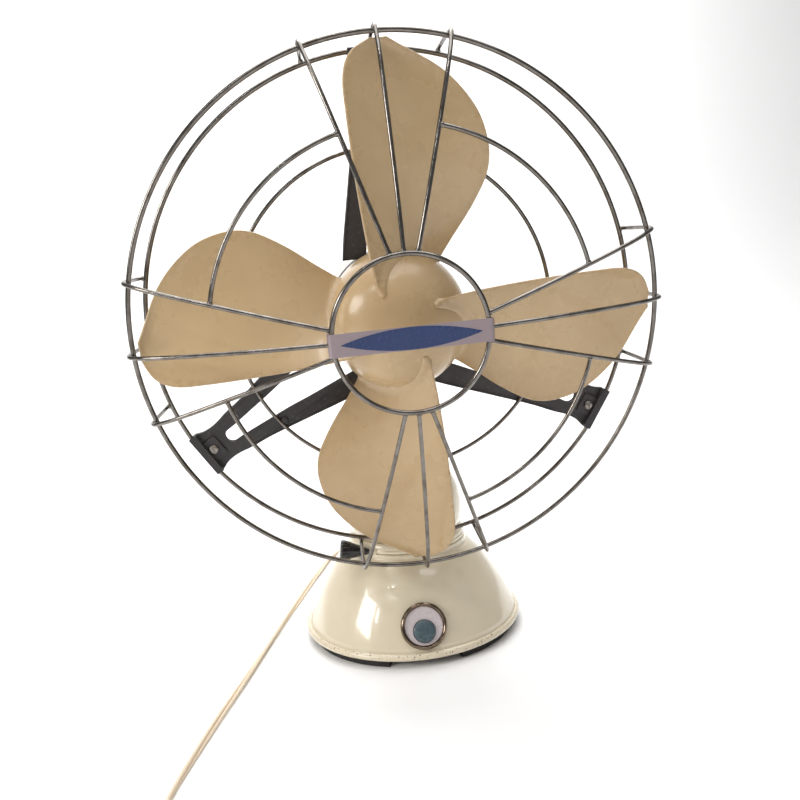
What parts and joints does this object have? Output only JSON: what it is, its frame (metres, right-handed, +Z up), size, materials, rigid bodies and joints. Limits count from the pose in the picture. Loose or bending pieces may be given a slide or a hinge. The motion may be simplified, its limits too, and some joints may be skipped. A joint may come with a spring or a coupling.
{
  "type": "desk fan",
  "caption": "Desk fan with a chromed wire guard, broad cream blades, a ball neck and a domed enamel base with a push button.",
  "frame": {"origin": "on the table, on the base's vertical axis, in the plane of the four rubber feet", "axes": "+Z up; the fan blows towards -Y; +X is to the right of someone looking at its front"},
  "size_m": [0.4942, 0.5554, 0.4664],
  "materials": {
    "enamel": "ivory stove enamel, glossy, small chips at the bead",
    "iron": "raw casting",
    "plate_steel": "zinc-plated sheet",
    "rubber": "matt black",
    "screw_steel": "worn zinc",
    "bezel": "polished, slightly worn",
    "badge_face": "pinkish white, plain",
    "bakelite": "brown moulded switch housing",
    "button": "teal-grey, worn",
    "cord": "ivory, aged",
    "plug": "ivory, moulded",
    "pins": "turned brass",
    "knob_black": "black phenolic",
    "bronze": "sintered bronze",
    "windings": "stacked steel with varnished windings",
    "spider_metal": "dark grey painted casting, satin",
    "wire_chrome": "plated wire, slightly tarnished",
    "strap": "pinkish anodised sheet",
    "emblem": "blue enamel, plain",
    "blade_cream": "cream, glossy, brown specks at the edges",
    "laminations": "stacked steel"
  },
  "bodies": {
    "base": {"base_shell": "enamel", "base_plate": "plate_steel", "rubber_feet": "rubber", "base_weight": "iron", "base_screws": "screw_steel", "base_collar": "enamel", "badge_bezel": "bezel", "badge_plate": "badge_face", "switch_body": "bakelite", "cord_grommet": "cord", "power_cord": "cord", "cord_coil": "cord", "plug_body": "plug", "plug_pins": "pins", "neck_bridge": "plate_steel"},
    "button": {"push_button": "button"},
    "swivel": {"socket_cup": "enamel", "swivel_stud": "screw_steel", "swivel_washer": "screw_steel", "swivel_nut": "screw_steel", "tilt_yoke": "plate_steel", "tilt_pin": "screw_steel"},
    "knob": {"clamp_screw": "screw_steel", "clamp_knob": "knob_black"},
    "head": {"neck_ball": "enamel", "neck_column": "enamel", "motor_front": "enamel", "motor_rear": "enamel", "motor_bolts": "screw_steel", "stator": "windings", "front_bearing": "bronze", "rear_bearing": "bronze", "spider": "spider_metal", "spider_screws": "screw_steel", "ring_clamps": "spider_metal", "clamp_bolts": "screw_steel", "rear_ring": "wire_chrome", "inner_ring": "wire_chrome", "front_ring": "wire_chrome", "radial_wires": "wire_chrome", "mid_arcs": "wire_chrome", "centre_ring": "wire_chrome", "badge_strap": "strap", "strap_emblem": "emblem"},
    "rotor": {"rotor_core": "laminations", "shaft": "screw_steel", "impeller_hub": "blade_cream", "impeller_blades": "blade_cream", "hub_insert": "screw_steel", "hub_screw": "screw_steel"}
  },
  "joints": [
    {"name": "push_button", "type": "slide", "parent": "base", "child": "button", "axis": [0, 0.9135, -0.4067], "range_m": [0, 0.003], "stiffness_N_per_m": 400},
    {"name": "swivel", "type": "hinge", "parent": "base", "child": "swivel", "pos_m": [0, 0, 0.082], "axis": [0, 0, 1], "range_deg": [-75, 75]},
    {"name": "clamp_turn", "type": "hinge", "parent": "swivel", "child": "knob", "pos_m": [-0.05, -0.0404, 0.08746], "axis": [-0.9848, 0, 0.1736], "range_deg": [0, 180]},
    {"name": "tilt", "type": "hinge", "parent": "swivel", "child": "head", "pos_m": [0, 0, 0.112], "axis": [1, 0, 0], "range_deg": [-18, 2]},
    {"name": "impeller_spin", "type": "hinge", "parent": "head", "child": "rotor", "pos_m": [0, -0.02049, 0.2864], "axis": [0, -0.9932, -0.1167], "continuous": true}
  ]
}
